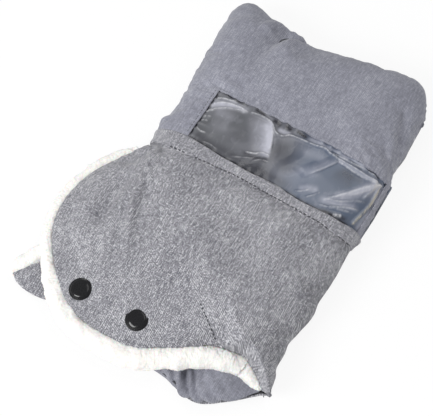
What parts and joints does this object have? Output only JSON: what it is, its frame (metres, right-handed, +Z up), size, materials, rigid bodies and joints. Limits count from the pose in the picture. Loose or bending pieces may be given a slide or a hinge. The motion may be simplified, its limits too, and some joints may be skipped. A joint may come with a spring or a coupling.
{
  "type": "stroller hand muff",
  "caption": "Padded hand muff for a pushchair handle, with a clear window in its top and a snap-closed, fleece-edged mouth flap that hinges open.",
  "frame": {"origin": "on the surface that the muff lies on, under the middle of the body", "axes": "+Z up from the table, +Y along the muff from the mouth to the closed far end, +X to the closed right side"},
  "size_m": [0.2392, 0.3424, 0.06],
  "materials": {
    "heather_cloth": "grey melange woven cloth, matte",
    "lining": "dark grey woven lining",
    "wadding": "white polyester wadding",
    "fleece": "cream sherpa fleece with a short curly pile",
    "elastic": "white flat elastic",
    "window_film": "clear flexible film, glossy",
    "snap": "glossy black snap",
    "snap_steel": "blackened steel"
  },
  "bodies": {
    "muff": {"far_shell": "heather_cloth", "window_hem": "heather_cloth", "window_side_left": "heather_cloth", "window_side_right": "heather_cloth", "window_film": "window_film", "window_band": "heather_cloth", "front_shell": "heather_cloth", "top_wadding": "wadding", "top_lining": "lining", "lower_shell": "heather_cloth", "lower_wadding": "wadding", "lower_lining": "lining", "lip_shell": "heather_cloth", "lip_elastic": "elastic", "lip_fleece": "fleece", "corner_shell": "heather_cloth", "corner_fleece": "fleece", "snap_stud_left": "snap", "snap_stud_right": "snap", "snap_post_left": "snap_steel", "snap_post_right": "snap_steel"},
    "mouth_flap": {"flap_shell": "heather_cloth", "flap_wadding": "wadding", "flap_lining": "lining", "flap_fleece": "fleece", "flap_fleece_roll": "fleece", "snap_cap_left": "snap", "snap_cap_right": "snap", "snap_socket_left": "snap", "snap_socket_right": "snap", "snap_spring_left": "snap_steel", "snap_spring_right": "snap_steel"}
  },
  "joints": [
    {"name": "flap_hinge", "type": "hinge", "parent": "muff", "child": "mouth_flap", "pos_m": [-0.0025, -0.0615, 0.06], "axis": [-0.8143, 0.5804, 0], "range_deg": [0, 60]}
  ]
}
